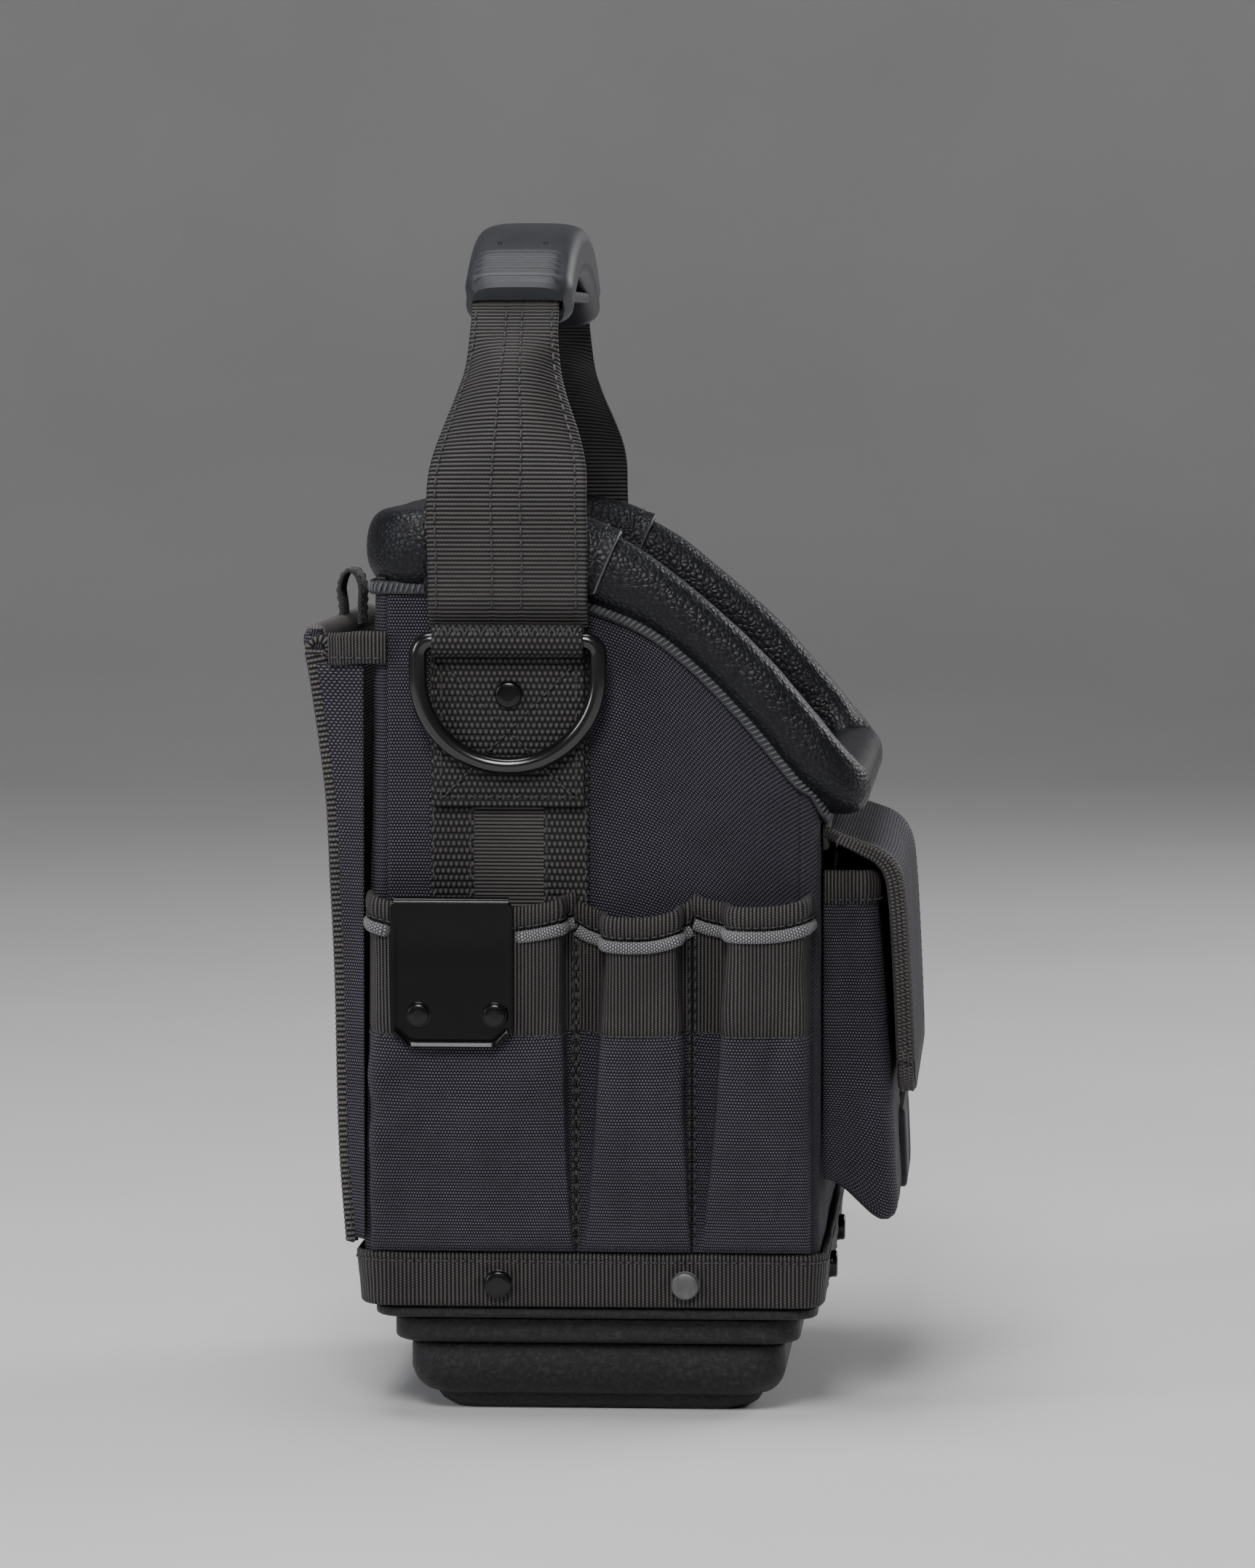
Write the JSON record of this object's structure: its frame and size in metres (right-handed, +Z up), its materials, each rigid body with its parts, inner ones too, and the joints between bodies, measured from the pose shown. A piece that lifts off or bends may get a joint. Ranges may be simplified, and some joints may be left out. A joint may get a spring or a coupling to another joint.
{
  "type": "tool caddy",
  "caption": "Open-topped black fabric tool bag on a stepped plastic base, with an arched webbing handle, D-rings, side pockets, a metal tape clip and a front flap pocket.",
  "frame": {"origin": "middle of the flat underside of the moulded base, on the floor the bag stands on", "axes": "X across the width, +X to the right seen from the front, -Y towards the front flap pocket, +Z up"},
  "size_m": [0.2309, 0.1974, 0.3851],
  "materials": {
    "nylon_fabric": "woven charcoal nylon, matt",
    "webbing": "black ribbed webbing",
    "leather": "black pebbled leather, slight sheen",
    "base_plastic": "textured moulded black",
    "black_metal": "black, satin to gloss",
    "worn_metal": "black finish worn to grey",
    "grip_rubber": "black, semi-matt",
    "grey_tape": "mid grey woven tape",
    "badge_rubber": "dark grey, matt, blank",
    "lining_fabric": "dark grey lining, matt"
  },
  "bodies": {
    "bag": {"back_gusset_left": "nylon_fabric", "back_gusset_right": "nylon_fabric", "back_hang_loop": "grey_tape", "back_panel": "nylon_fabric", "base_band": "webbing", "base_floor": "lining_fabric", "base_rivet_back_left": "black_metal", "base_rivet_back_right": "black_metal", "base_rivet_front_left": "black_metal", "base_rivet_front_right": "black_metal", "base_rivet_left_front": "worn_metal", "base_rivet_left_rear": "black_metal", "base_rivet_right_front": "black_metal", "base_rivet_right_rear": "black_metal", "base_tray": "base_plastic", "clip_rivet_front": "black_metal", "clip_rivet_rear": "black_metal", "d_ring_loop_left": "webbing", "d_ring_loop_right": "webbing", "d_ring_rivet_left": "black_metal", "d_ring_rivet_right": "black_metal", "flap_seam": "webbing", "front_badge": "badge_rubber", "front_panel": "nylon_fabric", "front_pocket": "nylon_fabric", "front_pocket_binding": "webbing", "gusset_binding_left": "webbing", "gusset_binding_right": "webbing", "inner_sleeve_left": "lining_fabric", "inner_sleeve_middle": "lining_fabric", "inner_sleeve_right": "lining_fabric", "rear_panel": "nylon_fabric", "rim_front": "leather", "rim_rear": "leather", "side_panel_left": "nylon_fabric", "side_panel_right": "nylon_fabric", "side_pocket_binding_left_front": "webbing", "side_pocket_binding_left_middle": "webbing", "side_pocket_binding_left_rear": "webbing", "side_pocket_binding_right_front": "webbing", "side_pocket_binding_right_middle": "webbing", "side_pocket_binding_right_rear": "webbing", "side_pocket_left_front": "nylon_fabric", "side_pocket_left_middle": "nylon_fabric", "side_pocket_left_rear": "nylon_fabric", "side_pocket_right_front": "nylon_fabric", "side_pocket_right_middle": "nylon_fabric", "side_pocket_right_rear": "nylon_fabric", "side_webbing_left": "webbing", "side_webbing_right": "webbing", "strap_saddle_left": "leather", "strap_saddle_right": "leather", "tape_clip": "black_metal"},
    "ring_left": {"d_ring_left": "black_metal"},
    "ring_right": {"d_ring_right": "black_metal"},
    "handle": {"handle_strap": "webbing", "handle_grip": "grip_rubber"},
    "flap": {"front_flap": "nylon_fabric"}
  },
  "joints": [
    {"name": "d_ring_left", "type": "hinge", "parent": "bag", "child": "ring_left", "pos_m": [-0.1055, 0.027, 0.2512], "axis": [0, 1, 0], "range_deg": [0, 150]},
    {"name": "d_ring_right", "type": "hinge", "parent": "bag", "child": "ring_right", "pos_m": [0.1055, 0.027, 0.2512], "axis": [0, -1, 0], "range_deg": [0, 150]},
    {"name": "handle_swing", "type": "hinge", "parent": "bag", "child": "handle", "pos_m": [0, 0.027, 0.2825], "axis": [1, 0, 0], "range_deg": [-25, 35]},
    {"name": "front_flap", "type": "hinge", "parent": "bag", "child": "flap", "pos_m": [0, -0.0775, 0.1875], "axis": [-1, 0, 0], "range_deg": [0, 60]}
  ]
}
